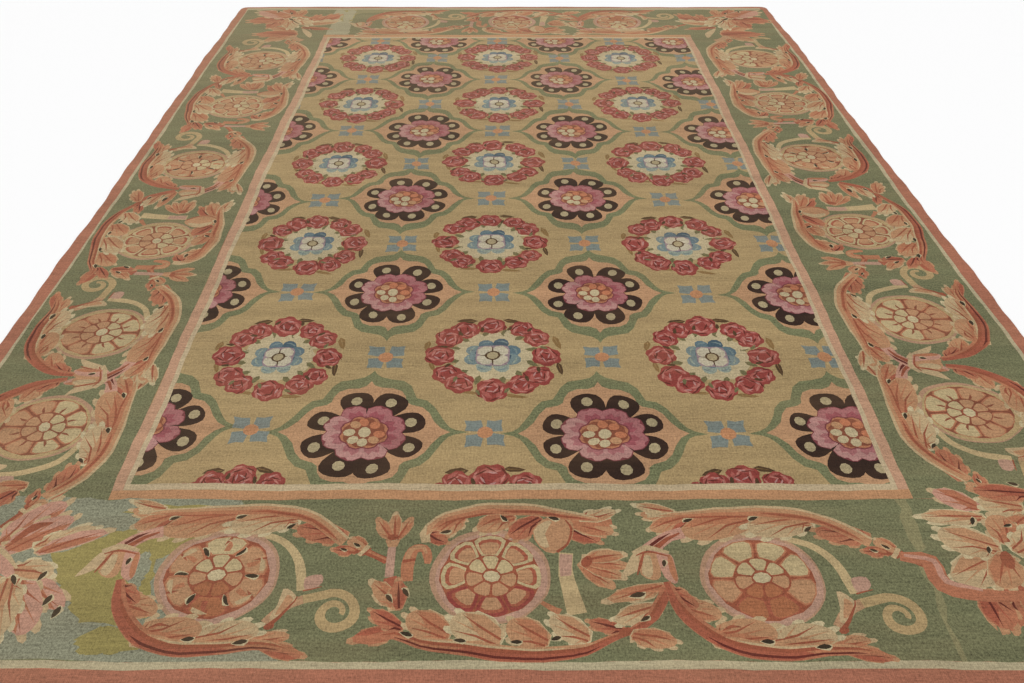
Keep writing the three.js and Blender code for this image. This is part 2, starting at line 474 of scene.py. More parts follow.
def crescent(line, widths, yarns):
    """Bands along a spine: each yarn, its share of the width, its offset, and where it starts and ends."""
    rows = []
    for yarn, share, offset, start, end in yarns:
        place = np.linspace(start, end, max(5, int(len(line[1]) * (end - start))))
        half = np.interp(place, np.linspace(0, 1, len(widths)), widths) / 2
        middle, facing = at_distance(line, place * line[0][-1])
        middle = middle + 1j * facing * half * offset
        width = 2 * half * share
        if start > 0:
            width[0] = 1
        if end < 1:
            width[-1] = 1
        side = 1j * facing * width / 2
        rows.append((yarn, np.concatenate([middle + side, (middle - side)[::-1]])))
    return rows


def lobes(rows_of_lobes):
    """Several lobes, each row with the values that lobe() takes."""
    rows = []
    for row in rows_of_lobes:
        rows += lobe(*row)
    return rows


def eyes(places):
    """Several slits, each from its place, direction and length."""
    rows = []
    for at, facing, length in places:
        rows += eye(at, facing, length, 0.42 * length)
    return rows


# Bands of the crescents: yarn, share of the width, offset, start and end, as crescent() takes them.
RIM = [("leaf cream", 1.0, 0.35, 0.0, 1), ("leaf peach", 0.9, 0.0, 0.05, 1), ("salmon", 0.5, -0.3, 0.1, 0.98),
       ("brick", 0.24, -0.2, 0.5, 0.96), ("brick", 0.2, -0.75, 0.12, 0.48)]


def inner_crescent():
    """Leaf on the field side of a rosette, from its forked tail on the left to its bud on the right."""
    rows = lobes((
        (-150 + 184j, 176, 108, 46, 3, WARM, -6), (-140 + 176j, 199, 104, 56, 3, WARM, 6),
        (-128 + 168j, 226, 74, 46, 3, CORAL, 6), (22 + 184j, 190, 205, 100, 5, WARM, 22),
        (160 + 172j, 184, 185, 96, 5, PALE, 14), (276 + 108j, 160, 138, 72, 4, CORAL, 18),
        (-166 + 194j, 166, 106, 40, 2, PALE, -18, 0.3)))
    line = spine([-230 + 186j, -146 + 188j, -55 + 194j, 36 + 199j, 97 + 196j, 153 + 182j, 198 + 160j,
                  238 + 128j, 270 + 100j])
    rows += crescent(line, (10, 20, 28, 32, 36, 34, 26), RIM)
    return rows + eyes(((-138 + 172j, 205, 24), (17 + 180j, 200, 26), (141 + 146j, 218, 24)))


def bud_end(at, facing, stalk):
    """Rolled bud at the end of a crescent, its cuff and the red stalk after it."""
    rows = [strip("brick", [40, 60 + stalk * 0.5, 60 + stalk], (20, 17, 20)),
            strip("salmon", [40 + 4j, 60 + stalk * 0.5 + 3j, 60 + stalk + 3j], (8, 7, 6))]
    rows += lobe(44 - 10j, 205, 62, 34, 2, CORAL, -12, 0.26)
    rows += lobe(52 + 12j, 168, 50, 30, 2, WARM, 14, 0.2)
    rows += [("leaf peach", oval(30 + 6j, 26, 13, -4, 10)), ("brick", oval(30 - 12j, 22, 9, 6, 9)),
             ("salmon", oval(26 - 11j, 15, 5, 6, 8))]
    rows += eye(32 + 6j, -6, 20, 8) + eye(14 - 18j, 8, 18, 7)
    rows += [strip("leaf cream", [56 - 17j, 59, 56 + 17j], (11, 13, 10)),
             strip("brick", [64 - 14j, 66 + 14j], (4, 4))]
    return placed(rows, at, facing)


# The same for the outer crescents; the second one is for those that run to the left.
KEEL = [("coral", 1.0, -0.2, 0, 1), ("salmon", 0.7, 0.1, 0.25, 1), ("leaf peach", 0.5, 0.4, 0.35, 0.9),
        ("coral deep", 0.6, -0.5, 0.0, 0.7), ("wine", 0.16, -0.72, 0.3, 0.9), ("brick", 0.24, 0.1, 0.1, 0.92),
        ("leaf cream", 0.14, 0.5, 0.4, 0.75)]
KEEL_LEFT = [("coral", 1.0, -0.2, 0, 1), ("salmon", 0.7, 0.1, 0.1, 0.8), ("leaf peach", 0.5, 0.4, 0.15, 0.7),
             ("coral deep", 0.6, -0.5, 0.3, 1), ("wine", 0.16, -0.7, 0.12, 0.7), ("brick", 0.24, 0.1, 0.08, 0.98),
             ("leaf cream", 0.14, 0.5, 0.2, 0.6)]


def outer_crescent():
    """Leaf on the outer side: from the cup at the upper left round under the rosette to a forked tail."""
    rows = lobes((
        (136 - 186j, -14, 100, 40, 2, CORAL, -8, 0.3), (86 - 178j, 14, 118, 44, 3, WARM, -16),
        (-16 - 168j, 10, 158, 84, 5, PALE, -2), (-146 - 158j, 6, 168, 90, 5, WARM, 2),
        (-200 - 64j, -24, 112, 66, 4, WARM, 4), (-212 - 20j, -50, 92, 44, 3, CORAL, 10)))
    line = spine([-212 - 8j, -205 - 40j, -186 - 88j, -155 - 130j, -118 - 162j, -75 - 178j, -30 - 186j,
                  20 - 188j, 97 - 182j, 160 - 184j, 226 - 207j])
    rows += crescent(line, (18, 30, 38, 42, 42, 40, 36, 30, 22, 4), KEEL)
    return rows + eyes(((-21 - 166j, 2, 28), (91 - 177j, 8, 30))) + [
        band("brick", [-112 - 140j, -92 - 130j, -70 - 132j], (2, 8, 2)), ("brick", oval(143 - 136j, 12, 9, 20, 7))]


def spiral(at):
    """Pale stalk that rolls up, beginning at its foot on the lower left."""
    turn = np.linspace(0, 1, 34)
    angle = np.radians(150 - 530 * turn)
    radius = 59 - 44 * turn**0.9
    roll = at + radius * np.exp(1j * angle)
    foot = np.array([at - 139 - 24j, at - 122 + 2j, at - 100 + 24j, at - 74 + 38j])
    line = np.concatenate([foot, roll[2:]])
    return [("stalk pink", ribbon(line[:8], (24, 24))), ("spiral", ribbon(line[3:], (24, 24, 23, 18, 12)))]


def petal_wedge(inner, outer, middle, half):
    """Rounded wedge of a ring."""
    waist, shoulder = 0.5 * inner + 0.5 * outer, 0.14 * inner + 0.86 * outer
    rows = ((inner, -0.86), (waist, -1), (shoulder, -0.95), (outer, -0.62), (outer * 1.01, 0),
            (outer, 0.62), (shoulder, 0.95), (waist, 1), (inner, 0.86))
    return np.array([radius * turned(middle + part * half) for radius, part in rows])


def petal_yarn(up, cream_from, peach_from):
    """Yarn of a petal that points up by a share from -1 to 1: the lower, the darker."""
    return "petal cream" if up >= cream_from else "petal peach" if up >= peach_from else "petal orange"


def rosette(kind, rng, pale):
    """Round flower about a ring of seven small petals. Its kind is plain or edged, with eight petals, or
    slit, with six. A pale one has no dark side."""
    dark, darkest_side = ("rust", -0.5) if pale else ("brick", -1)
    rows = [("ring", oval(0, 135 + rng.uniform(-2, 2), 135, rng.uniform(0, 9), 34)),
            ("spiral" if pale else "ring pink", oval(3 - 3j, 127, 126, 5, 26)),
            (dark, scalloped(0, 116, 8, 0.04, 22.5))]
    count = 6 if kind == "slit" else 8
    first = {"plain": 22.5, "edged": 0, "slit": 30}[kind]
    for i in range(count):
        a = first + 360 / count * i + rng.uniform(-1.5, 1.5)
        up = max(math.sin(math.radians(a)), darkest_side)
        yarn = petal_yarn(up, 0 if kind == "plain" else 0.75, -0.6)
        under = "salmon" if up > -0.6 else "coral deep"
        petal = petal_wedge(60, 113 + rng.uniform(-2, 2), a, 172 / count)
        middle = 78 * turned(a)
        if kind == "edged":
            rows += [("petal cream" if up >= -0.5 else "crimson", petal), ("coral deep", shrunk(petal, middle, 0.74)),
                     ("petal peach", shrunk(petal, 66 * turned(a), 0.62))]
        else:
            rows += [(under, petal), (yarn, shrunk(petal, 92 * turned(a + 3), 0.88))]
        if kind == "plain" and pale:
            rows.append(("rust", vein_line(62 * turned(a), 74 * turned(a + 2), 88 * turned(a - 2), 7)))
        if kind == "slit":
            rows += [(under, vein_line(68 * turned(a - 5), 84 * turned(a - 7), 104 * turned(a - 3), 13)),
                     ("brick", vein_line(112 * turned(a - 3), 96 * turned(a), 84 * turned(a + 3), 6)),
                     ("leaf cream", shrunk(petal[1:6], 100 * turned(a - 14), 0.5))]
            rows += eye(76 * turned(a + 30), a + 30, 30, 12)
    rows.append((dark, oval(0, 62, 60, 0, 16)))
    for i in range(7):
        a = 38 + 360 / 7 * i
        up = max(math.sin(math.radians(a)), darkest_side)
        rows.append((petal_yarn(up, 0.4, -1 if kind == "edged" else -0.5), petal_wedge(23, 57, a, 22.5)))
    rows += [("brick", oval(0, 24, 20, 0, 9)), ("cream light", oval(0, 20, 16, 0, 8))]
    return rows


def cup():
    """Calyx where an inner and an outer crescent part: two hanging petals under a cuff."""
    rows = [strip("blush", [-152 + 132j, -186 + 122j, -214 + 104j, -240 + 76j], (34, 30, 34, 44)),
            strip("brick", [-160 + 130j, -192 + 114j, -226 + 84j], (5, 10, 14)),
            ("wine", vein_line(-236 + 92j, -212 + 116j, -180 + 132j, 8)),
            blob("leaf cream", -274 + 74j, -248 + 78j, -258 + 46j, -276 + 20j, -316 - 2j, -302 + 28j, -290 + 52j),
            blob("leaf peach", -262 + 68j, -218 + 74j, -220 + 40j, -224 + 6j, -244 - 4j, -270 + 12j, -266 + 44j),
            blob("leaf cream", -256 + 60j, -240 + 62j, -238 + 24j, -250 + 2j, -266 + 14j, -260 + 40j),
            blob("blush", -224 + 74j, -192 + 68j, -186 + 40j, -184 + 2j, -196 - 14j, -216 + 4j, -222 + 44j),
            blob("salmon", -200 + 66j, -190 + 60j, -184 + 10j, -192 - 8j, -200 + 20j),
            strip("brick", [-254 + 70j, -264 + 42j, -278 + 10j], (4, 8, 3)),
            band("leaf cream", [-280 + 72j, -246 + 86j, -196 + 74j], (8, 15, 9)),
            band("brick", [-272 + 64j, -244 + 74j, -198 + 64j], (3, 6, 4))]
    return rows + eye(-210 + 42j, 80, 20, 10)


def unit_a(kind, rng, pale):
    """Rosette with its crescents, cup, side stalk and spiral."""
    rows = [band("stalk cream", [60 + 122j, 127 + 98j, 166 + 56j, 186 + 6j, 192 - 40j], (18, 20, 21, 22, 20))]
    rows += rosette(kind, rng, pale) + inner_crescent() + bud_end(272 + 102j, -30, 62) + cup() + outer_crescent()
    rows += spiral(273 - 103j)
    rows += [blob("ring pink", 196 - 8j, 204 + 2j, 232 + 4j, 238 - 18j, 222 - 34j, 200 - 36j),
             strip("brick", [196 - 40j, 214 - 36j, 238 - 30j], (4, 4, 2)),
             blob("leaf cream", 140 - 114j, 148 - 80j, 152 - 36j, 172 - 42j, 186 - 66j, 172 - 96j, 158 - 118j),
             blob("leaf peach", 150 - 106j, 158 - 70j, 164 - 52j, 178 - 66j, 166 - 96j),
             strip("brick", [142 - 134j, 160 - 112j, 182 - 70j, 186 - 56j], (12, 8, 4, 2))]
    return rows


def tulip(fingers, shades):
    """Small half-open flower seen from the side, growing along the real axis."""
    rows = []
    darker = (shades[1], *shades[1:])
    for i in range(fingers):
        aside = i / (fingers - 1) - 0.5
        rows += lobe(-8 + 8j * aside, 62 * aside, 96 - 16 * abs(aside), 36, 2, shades if i % 2 else darker,
                     -24 * aside, 0.12)
    rows.append((shades[3], oval(2, 10, 15, 0, 9)))
    return rows


def unit_b(kind, rng, pale):
    """Rosette with its crescents turned the other way, tulips and straight stalks."""
    rows = [band("stalk cream", [170 + 66j, 168 + 20j, 176 - 40j, 188 - 106j], (32, 30, 36, 42)),
            strip("ring pink", [170 + 62j, 168 + 30j, 170 - 4j], (28, 27, 24)),
            strip("salmon", [110 - 76j, 140 - 96j, 152 - 102j], (10, 16, 20))]
    rows += rosette(kind, rng, pale)
    # leaf on the field side
    rows += lobes((
        (-60 + 176j, 214, 112, 62, 4, WARM, 26), (-150 + 132j, -50, 70, 44, 3, CORAL, 30),
        (60 + 172j, 196, 112, 66, 4, WARM, 20), (118 + 168j, 214, 104, 62, 4, CORAL, 10),
        (160 + 170j, -40, 126, 70, 4, CORAL, 6), (176 + 172j, -24, 128, 66, 4, WARM, 6)))
    rows += [blob("leaf peach", 132 + 176j, 98 + 132j, 112 + 84j, 143 + 64j, 178 + 92j, 190 + 140j, 178 + 172j),
             blob("leaf cream", 124 + 160j, 100 + 130j, 114 + 88j, 134 + 84j, 126 + 122j, 140 + 160j),
             band("brick", [168 + 172j, 184 + 140j, 176 + 96j, 150 + 68j], (3, 6, 5, 8))]
    rows += lobes(((200 + 174j, 8, 112, 44, 3, PALE, 12, 0.3),))
    line = spine([-148 + 96j, -152 + 124j, -136 + 150j, -108 + 170j, -62 + 186j, 0 + 197j, 60 + 194j,
                  120 + 190j, 180 + 178j, 250 + 168j])
    rows += crescent(line, (22, 28, 32, 36, 36, 34, 30, 24, 12), RIM)
    rows += eyes(((143 + 172j, -12, 26), (32 + 170j, -50, 24), (-108 + 126j, 8, 26)))
    # leaf on the outer side
    rows += lobes((
        (-190 - 150j, 186, 112, 48, 2, CORAL, 14, 0.3), (-182 - 144j, 152, 96, 46, 3, CORAL, -14),
        (-84 - 168j, 150, 122, 84, 5, WARM, -26), (20 - 186j, 148, 140, 96, 5, PALE, -24),
        (118 - 184j, 152, 112, 84, 4, WARM, -22), (212 - 170j, 154, 110, 74, 4, PALE, -24),
        (284 - 146j, 166, 84, 40, 3, CORAL, -8), (364 - 84j, 204, 116, 58, 4, PALE, -12),
        (384 - 30j, 196, 150, 44, 2, WARM, 0, 0.3)))
    line = spine([-286 - 172j, -206 - 152j, -149 - 172j, -93 - 184j, -37 - 192j, 34 - 204j, 95 - 203j,
                  155 - 199j, 216 - 184j, 271 - 156j, 300 - 142j, 337 - 118j, 360 - 78j, 384 - 30j])
    rows += crescent(line, (8, 20, 28, 32, 36, 38, 36, 34, 32, 22, 16, 22, 28, 26), KEEL_LEFT)
    rows += eyes(((-175 - 154j, -16, 28), (-62 - 174j, -6, 26), (52 - 178j, 4, 24), (136 - 168j, 20, 24),
                  (328 - 116j, 32, 24), (318 - 54j, 18, 34)))
    rows += [("brick", oval(286 - 147j, 15, 11, 30, 8))]
    # right: open flower and small bud
    rows += placed(tulip(4, WARM), 212 + 40j, -22, 1.22)
    rows += placed(lobe(0, 0, 104, 58, 4, WARM, 4), 296 - 158j, -12, flip=True)
    # left: flower on a stalk, hooked bud and cup
    rows += [strip("ring pink", [-228 + 104j, -226 + 50j, -224 - 8j], (18, 17, 20)),
             strip("leaf peach", [-228 + 106j, -227 + 84j], (34, 20)),
             band("salmon", [-184 - 18j, -186 + 34j, -180 + 70j, -156 + 76j, -146 + 48j, -145 + 30j],
                  (26, 28, 26, 24, 20, 12)),
             band("leaf peach", [-190 + 44j, -184 + 72j, -160 + 80j, -150 + 60j], (12, 13, 12, 6)),
             strip("brick", [-198 + 38j, -172 + 42j], (10, 8))]
    rows += placed(tulip(3, WARM), -228 + 112j, 90, 0.94)
    rows += [strip("coral deep", [-222 - 8j, -206 - 50j, -200 - 96j], (30, 54, 22))]
    rows += lobes(((-202 - 94j, 122, 104, 48, 2, WARM, 14, 0.26), (-198 - 94j, 98, 88, 44, 2, CORAL, -20, 0.26)))
    return rows + eyes(((-217 - 66j, 128, 24), (-184 - 48j, 122, 26)))


# Layout of the whole rug, from its middle.

# Edges of the woven stripes down the two sides. Each row is a place along the rug, then the five edges of
# the left side from the outermost inwards, then those of the right side from the field outwards.
STRIPE_STATIONS = (
    (-2142, -1490, -1478, -1000, -972, -958, 908, 921, 948, 1465, 1478),
    (-1000, -1486, -1476, -1000, -972, -958, 910, 923, 950, 1450, 1462),
    (-400, -1476, -1467, -1000, -970, -956, 907, 916, 945, 1430, 1443),
    (200, -1474, -1460, -1001, -969, -953, 902, 912, 943, 1416, 1431),
    (1000, -1472, -1461, -984, -953, -940, 893, 903, 936, 1402, 1414),
    (1600, -1465, -1452, -969, -945, -931, 878, 890, 921, 1385, 1397),
    (2142, -1455, -1441, -960, -940, -925, 868, 880, 912, 1350, 1366),
)
# The same stripes' edges across the near end and the far end, from the outermost inwards.
NEAR_LINES = (-2089, -2070, -1616, -1585, -1563)
FAR_LINES = (2117, 2091, 1684, 1650, 1635)
LINE_STEP = 42  # spacing of the points along a stripe's edge
STRIPE_YARNS = ("edge cream", "green", "stripe coral", "stripe cream")

# Middles of the motifs of the field. The last three wreaths are those that the near stripe cuts off, and
# the last six medallions are the left half ones.
WREATHS = ((-695, -1049), (-75, -1043), (559, -1047), (-697, -411), (-88, -401), (553, -413), (-690, 200),
           (-82, 214), (554, 208), (-672, 786), (-64, 790), (548, 796), (-657, 1352), (-74, 1360), (525, 1350),
           (-693, -1692), (-77, -1692), (554, -1692))
WREATH_WIDTHS = (0.92, 0.98, 0.95)  # of the left, middle and right ones, against their length along the rug
OCTAFOILS = ((-409, -1374), (219, -1380), (868, -1376), (-391, -712), (244, -716), (883, -726), (-403, -90),
             (227, -86), (870, -104), (-376, 509), (239, 503), (862, 491), (-382, 1079), (223, 1073),
             (833, 1047), (-370, 1592), (217, 1597), (812, 1587), (-1003, -1349), (-1003, -706), (-999, -112),
             (-984, 505), (-969, 1077), (-969, 1593))
# Units of the border: letter of its function, its rosette's middle and the kind of rosette.
NEAR_UNITS = (("A", -681, -1849, "slit"), ("B", -72, -1848, "edged"), ("A", 529, -1857, "plain"))
FAR_UNITS = (("A", -566, 1882, "slit"), ("B", -2, 1885, "edged"), ("A", 560, 1888, "slit"))
LEFT_UNITS = (("C", -1256, -1352, "plain"), ("A", -1246, -930, "plain"), ("B", -1236, -392, "edged"),
              ("A", -1250, 190, "slit"), ("B", -1218, 764, "edged"), ("A", -1216, 1316, "slit"))
RIGHT_UNITS = (("C", 1207, -1293, "plain"), ("A", 1205, -860, "plain"), ("B", 1195, -327, "edged"),
               ("A", 1180, 255, "slit"), ("B", 1185, 794, "edged"), ("A", 1176, 1341, "plain"))

# Rectangles that patches are trimmed to, from low corner to high corner; the stripes cover their edges.
FIELD = (-962 - 1572j, 912 + 1643j)
BORDER = (-1476 - 2070j, 1500 + 2091j)
GROUND_CORNERS = (-1000 - 1600j, 950 - 1600j, 950 + 1670j, -1000 + 1670j)


def laid(motif, at, along, up):
    """A motif put at a place, with its own two axes given as directions on the rug."""
    return [(yarn, at + along * outline.real + up * outline.imag) for yarn, outline in motif]


def unsteady(outline):
    """The hand of the weaver: slow small shifts of every line."""
    x, y = outline.real, outline.imag
    return outline + 2.4 * np.sin(x / 61 + y / 83 + 1) + 1.3 * np.sin(y / 19 + x / 47) \
        + 1j * (2.4 * np.sin(x / 71 - y / 53 + 2) + 1.2 * np.sin(x / 17 + y / 41 + 3))


def stripe(low_line, high_line):
    """Patch between two lines given as arrays of points that run the same way."""
    return np.concatenate([low_line, high_line[::-1]])


def side_line(column, low, high):
    """A stripe's edge down a side, from its column of the table."""
    y = np.arange(low, high + 1, (high - low) / round((high - low) / LINE_STEP))
    rows = np.array(STRIPE_STATIONS, float)
    return np.interp(y, rows[:, 0], rows[:, column]) + 1j * y


def end_line(left, right, y):
    """A stripe's edge across an end."""
    return np.linspace(left, right, max(3, round((right - left) / LINE_STEP))) + 1j * y


def frame_stripes():
    """The stripes that frame the field and the border, from the outermost inwards."""
    rows = []
    for i, yarn in enumerate(STRIPE_YARNS, 1):
        near_out, near_in, far_in, far_out = NEAR_LINES[i - 1], NEAR_LINES[i], FAR_LINES[i], FAR_LINES[i - 1]
        left = side_line(i + 1, near_in, far_in)
        right = side_line(10 - i, near_in, far_in)
        left_out = side_line(i, near_in, far_in).real
        right_out = side_line(11 - i, near_in, far_in).real
        side_yarn = "stripe pink" if yarn == "stripe coral" else yarn
        rows.append((side_yarn, stripe(left_out + 1j * left.imag, left)))
        rows.append((side_yarn, stripe(right, right_out + 1j * right.imag)))
        for inner, outer, end in ((near_in, near_out, 0), (far_in, far_out, -1)):
            span = left_out[end], right_out[end]
            rows.append((yarn, stripe(end_line(*span, outer), end_line(*span, inner))))
    return rows


def field(rng):
    """Wreaths, medallions and small crosses, trimmed to the field."""
    rows = []
    flowers = [laid(wreath(rng), x + 1j * y, WREATH_WIDTHS[i % 3], 1j) for i, (x, y) in enumerate(WREATHS)]
    medallions = []
    for x, y in OCTAFOILS:
        # the nearest row is wide and the two farthest ones are small
        width, height = (1.06, 1) if y < -1300 else (1, 1) if y < 1000 else (0.95, 0.95)
        medallions.append(laid(octafoil(rng), x + 1j * y, width, height * 1j))
    # crosses lie halfway between two wreaths or two medallions, and beside the outer wreaths
    places = []
    for row in range(0, 18, 3):
        (a, y), (b, _), (c, _) = WREATHS[row:row + 3]
        places += [(a - 318, y), ((a + b) / 2, y), ((b + c) / 2, y), (c + 322, y)]
        a, b, c = OCTAFOILS[row:row + 3]
        d = OCTAFOILS[18 + row // 3]
        places += [((p[0] + q[0]) / 2, (p[1] + q[1]) / 2) for p, q in ((d, a), (a, b), (b, c))]
    for motif in medallions + flowers + [placed(small_cross(rng), x + 1j * y) for x, y in places]:
        for yarn, outline in motif:
            outline = trimmed(outline, *FIELD)
            if len(outline) > 2:
                rows.append((yarn, outline))
    return rows


ROSY = ("leaf cream", "blush", "coral", "brick")
# Leaves of the corner sprays: at, facing, length, width, fingers, shades, curl.
FAR_SPRAY = (
    (-1120 + 1690j, 212, 190, 84, 4, WARM, 6), (-1120 + 1715j, 152, 190, 84, 4, WARM, -6),
    (-1110 + 1700j, 182, 236, 104, 5, CORAL, 0), (-1104 + 1800j, -12, 168, 50, 3, CORAL, 6),
    (-1066 + 1862j, 84, 156, 78, 4, CORAL, -8), (-1060 + 1856j, 52, 218, 108, 5, CORAL, -6),
    (-1076 + 1848j, 24, 180, 84, 4, PALE, -8), (-1156 + 1962j, -56, 176, 90, 4, PALE, -8),
    (-1182 + 1950j, -82, 196, 108, 5, PALE, -6), (-1206 + 1946j, -102, 124, 66, 3, WARM, 8),
    (-1226 + 1944j, -112, 182, 92, 4, CORAL, 8), (-1170 + 1972j, 70, 134, 70, 4, WARM, 10),
    (-1196 + 1970j, 104, 138, 84, 4, CORAL, 4), (-1196 + 1950j, 196, 236, 124, 5, CORAL, -8),
    (-1190 + 1956j, 150, 238, 128, 5, ROSY, 6))
NEAR_LEFT_SPRAY = (
    (-1210 - 1576j, 178, 92, 54, 3, WARM, 8), (-1226 - 1590j, 226, 84, 50, 3, CORAL, -6),
    (-1204 - 1762j, 56, 196, 92, 4, ROSY, -8), (-1186 - 1774j, 38, 176, 90, 4, ROSY, 6),
    (-1120 - 1770j, 30, 150, 58, 3, PALE, -10), (-1110 - 1786j, 34, 176, 50, 2, ROSY, -26),
    (-1226 - 1800j, 150, 190, 100, 5, CORAL, 8), (-1226 - 1810j, 182, 210, 104, 5, WARM, 8),
    (-1214 - 1836j, 212, 236, 124, 5, CORAL, 6), (-1196 - 1846j, 238, 232, 124, 5, PALE, 6),
    (-1176 - 1850j, 264, 190, 110, 5, CORAL, 0), (-1104 - 1850j, -34, 160, 70, 3, ROSY, -8),
    (-1120 - 1846j, -62, 196, 96, 4, ROSY, -6), (-1130 - 1850j, -84, 186, 90, 5, PALE, 4),
    (-1140 - 1826j, -2, 108, 62, 3, PALE, -30))
NEAR_RIGHT_SPRAY = (
    (1096 - 1650j, 142, 124, 66, 3, ROSY, 14), (1100 - 1678j, 176, 176, 56, 3, PALE, 6),
    (1196 - 1650j, 160, 110, 84, 4, PALE, 8), (1236 - 1600j, 176, 150, 64, 3, CORAL, -8),
    (1200 - 1680j, 214, 116, 84, 4, WARM, 6), (1104 - 1904j, 214, 130, 70, 4, CORAL, 6),
    (1060 - 1890j, 244, 128, 84, 4, CORAL, 4), (1012 - 1888j, 276, 116, 80, 4, CORAL, -6),
    (1150 - 1830j, 326, 230, 124, 5, CORAL, -6), (1160 - 1800j, 352, 214, 116, 5, WARM, 8),
    (1140 - 1846j, 300, 220, 116, 5, PALE, -6), (1120 - 1850j, 270, 190, 104, 5, CORAL, 4),
    (1090 - 1800j, 204, 168, 112, 5, PALE, 6), (1094 - 1780j, 158, 158, 104, 5, PALE, -8),
    (1110 - 1790j, 236, 126, 88, 4, WARM, 6), (1110 - 1760j, 74, 110, 86, 4, WARM, 6),
    (1120 - 1780j, 28, 140, 90, 4, PALE, 8))
# Patches where the green has faded to blue-grey and to olive, in the near left corner and at the far left.
FADED = (
    ("aged blue", (-1480 - 2070j, -1480 - 1616j, -1320 - 1604j, -1100 - 1606j, -1000 - 1616j, -676 - 1616j,
                   -668 - 1700j, -700 - 1780j, -690 - 1900j, -600 - 1990j, -560 - 2036j, -500 - 2072j)),
    ("aged olive", (-1068 - 1790j, -1010 - 1762j, -960 - 1724j, -920 - 1716j, -850 - 1690j, -760 - 1676j,
                    -700 - 1700j, -760 - 1760j, -826 - 1800j, -820 - 1900j, -800 - 1960j, -860 - 1984j,
                    -940 - 1976j, -990 - 1910j, -1036 - 1850j)),
    ("aged olive", (-936 - 2024j, -900 - 1988j, -850 - 1990j, -790 - 2030j, -850 - 2052j, -906 - 2058j)),
    ("aged olive", (-950 - 1662j, -860 - 1638j, -740 - 1634j, -720 - 1648j, -830 - 1664j)),
    ("aged blue", (-884 - 1800j, -850 - 1770j, -836 - 1850j, -846 - 1900j, -872 - 1870j)),
    ("aged light", (898 - 1616j, 932 - 1616j, 924 - 1700j, 912 - 1800j, 900 - 2070j, 888 - 2070j, 896 - 1800j)),
    ("aged grey", (-962 + 1684j, -962 + 2091j, -850 + 2091j, -846 + 1960j, -858 + 1800j, -850 + 1684j)),
    ("aged olive", (-902 + 1900j, -908 + 2040j, -890 + 2080j, -846 + 2070j, -850 + 1980j, -868 + 1900j)),
    ("aged light", (-850 + 2091j, -480 + 2091j, -430 + 2060j, -560 + 2040j, -700 + 2054j, -850 + 2020j)))


def faded_patches(rng):
    """Ragged patches; their edges jump along the weft."""
    rows = []
    for yarn, corners in FADED:
        corners = np.array(corners)
        step = np.arange(6)[:, None] / 6
        edge = (corners * (1 - step) + np.roll(corners, -1) * step).T.ravel()
        edge = edge + rng.uniform(-8, 8, len(edge)) + 1j * rng.uniform(-4, 4, len(edge))
        rows.append((yarn, trimmed(edge, *BORDER)))
    return rows


def corner_sprays():
    """Acanthus sprays that point to the corners of the border."""
    rows = lobes(FAR_SPRAY)
    rows += [blob("leaf cream", -1100 + 1776j, -1072 + 1760j, -1032 + 1700j, -1036 + 1640j, -1062 + 1680j),
             band("salmon", [-1262 + 1960j, -1206 + 2000j, -1150 + 1990j, -1090 + 1958j], (10, 30, 30, 12)),
             band("leaf peach", [-1240 + 1976j, -1196 + 1996j, -1140 + 1984j], (4, 9, 4)),
             band("stalk pink", [-1136 + 1672j, -1110 + 1630j, -1070 + 1596j], (30, 34, 36))]
    rows += eyes(((-1184 + 1934j, -56, 44), (-1272 + 2058j, -80, 30), (-1196 + 2030j, -80, 30),
                  (-1052 + 1772j, -50, 22)))
    rows.append(("eye", vein_line(-1170 + 1914j, -1150 + 1880j, -1110 + 1836j, 7)))
    rows += [(yarn, -35 - outline.conj()) for yarn, outline in rows]
    rows += lobes(NEAR_LEFT_SPRAY)
    rows += [band("blush", [-1330 - 1720j, -1250 - 1762j, -1190 - 1800j, -1136 - 1850j], (50, 60, 56, 20)),
             band("leaf cream", [-1324 - 1700j, -1240 - 1744j, -1176 - 1786j, -1130 - 1830j], (12, 14, 13, 6)),
             band("brick", [-1176 - 1750j, -1140 - 1706j, -1106 - 1690j], (8, 26, 6))]
    rows += eyes(((-1124 - 1862j, 120, 30), (-1066 - 1852j, 70, 28), (-1030 - 1916j, 68, 32),
                  (-1000 - 1948j, 76, 34)))
    rows += lobes(NEAR_RIGHT_SPRAY)
    rows += [band("coral", [856 - 1792j, 916 - 1806j, 926 - 1876j, 1000 - 1906j, 1130 - 1904j], (26, 44, 46, 36, 20)),
             band("blush", [866 - 1788j, 926 - 1806j, 936 - 1866j, 1004 - 1892j], (8, 13, 16, 8)),
             ("brick", oval(1096 - 1806j, 16, 28, -14, 9))]
    return rows + eyes(((1064 - 1684j, 60, 26), (1206 - 1560j, -20, 26), (1066 - 1776j, 70, 24),
                        (1140 - 1700j, 20, 22)))


def mirrored_unit(kind, rng, pale):
    """The first unit of a side, which runs the other way."""
    return laid(unit_a(kind, rng, pale), 0, -1, 1j)


def border(rng):
    """The units of the four sides, each turned with its side, and the sprays of the corners."""
    rows = []
    units = {"A": unit_a, "B": unit_b, "C": mirrored_unit}
    for places, along, up, pale in ((NEAR_UNITS, 1, 1j, False), (FAR_UNITS, 0.95, -0.92j, False),
                                    (LEFT_UNITS, 0.94j, 0.99, True), (RIGHT_UNITS, 0.94j, -1.0, True)):
        for letter, x, y, kind in places:
            rows += laid(units[letter](kind, rng, pale), x + 1j * y, along, up)
    return rows + corner_sprays()


def rug_pattern(rng):
    """The whole pattern: rows of yarn and outline, painted in that order."""
    rows = [("tan", np.array(GROUND_CORNERS))]
    rows += field(rng) + frame_stripes() + faded_patches(rng) + border(rng)
    return [(yarn, unsteady(outline)) for yarn, outline in rows]


# The sheet: its outline is the CAD model's

